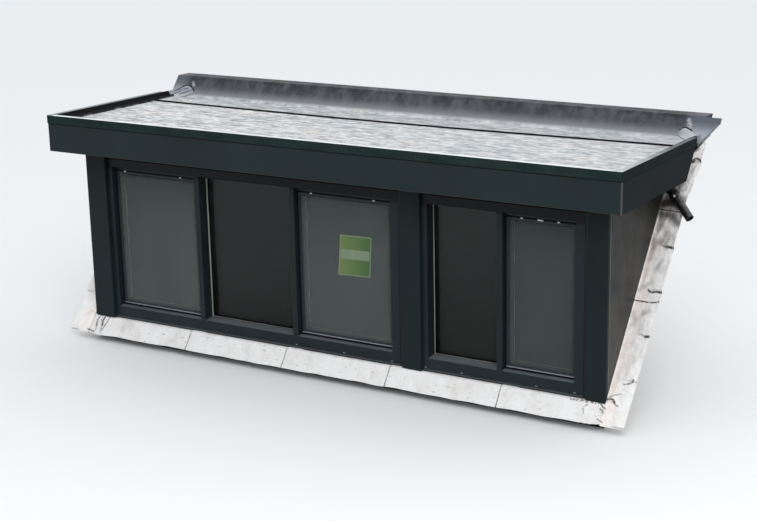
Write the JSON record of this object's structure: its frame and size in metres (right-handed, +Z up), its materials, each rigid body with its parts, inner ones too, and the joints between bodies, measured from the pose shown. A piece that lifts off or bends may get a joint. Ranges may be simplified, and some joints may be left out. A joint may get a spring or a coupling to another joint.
{
  "type": "dormer window",
  "caption": "Flat-roof dormer with a wide glazed front, deep overhanging fascia, triangular side walls and lead flashings, made to stand on a pitched roof.",
  "frame": {"origin": "middle of the front rail's slanted base, on the roof deck", "axes": "+X to the right along the front, +Y back into the roof, +Z up; the base plane falls towards the front at 52 degrees to the level"},
  "size_m": [4.6383, 1.6273, 1.8219],
  "materials": {
    "facing": "satin anthracite board",
    "fascia": "satin anthracite board",
    "frame_plastic": "foil-faced plastic profile, anthracite",
    "side_panel": "smooth satin panel, dark grey",
    "trim": "coated metal edge trim",
    "timber": "planed softwood",
    "boarding": "structural boarding",
    "wall_core": "insulated stud wall with boarding",
    "lining": "painted lining board",
    "clear_glass": "clear double glazing",
    "spacer": "bright metal spacer",
    "screen": "fine insect mesh in a slim frame",
    "membrane": "weathered roofing membrane",
    "lead": "dressed lead with a pale oxide skin",
    "pipe": "black plastic pipe",
    "handle": "satin handle"
  },
  "bodies": {
    "root": {"ceiling": "lining", "centre_sash": "frame_plastic", "centre_screen": "screen", "fixed_glass": "clear_glass", "front_apron": "lead", "front_fascia": "fascia", "front_rail": "timber", "glazing_beads": "frame_plastic", "glazing_spacers": "spacer", "head_beam": "timber", "head_boards": "facing", "left_cheek_lining": "lining", "left_cheek_panel": "side_panel", "left_cheek_wall": "wall_core", "left_fascia": "fascia", "left_flashing": "lead", "left_post": "timber", "left_post_board": "facing", "left_sash": "frame_plastic", "left_screen": "screen", "left_sill_profile": "frame_plastic", "left_window_frame": "frame_plastic", "middle_post": "timber", "middle_post_board": "facing", "outlet_elbow": "pipe", "outlet_pipe": "pipe", "rear_beam": "timber", "right_cheek_lining": "lining", "right_cheek_panel": "side_panel", "right_cheek_wall": "wall_core", "right_fascia": "fascia", "right_flashing": "lead", "right_post": "timber", "right_post_board": "facing", "right_sash": "frame_plastic", "right_screen": "screen", "right_sill_profile": "frame_plastic", "right_window_frame": "frame_plastic", "roof_deck": "boarding", "roof_joists": "timber", "roof_kerb": "membrane", "roof_membrane": "membrane", "roof_trim": "trim", "sash_glass": "clear_glass", "sash_handles": "handle", "soffits": "facing"}
  },
  "joints": []
}
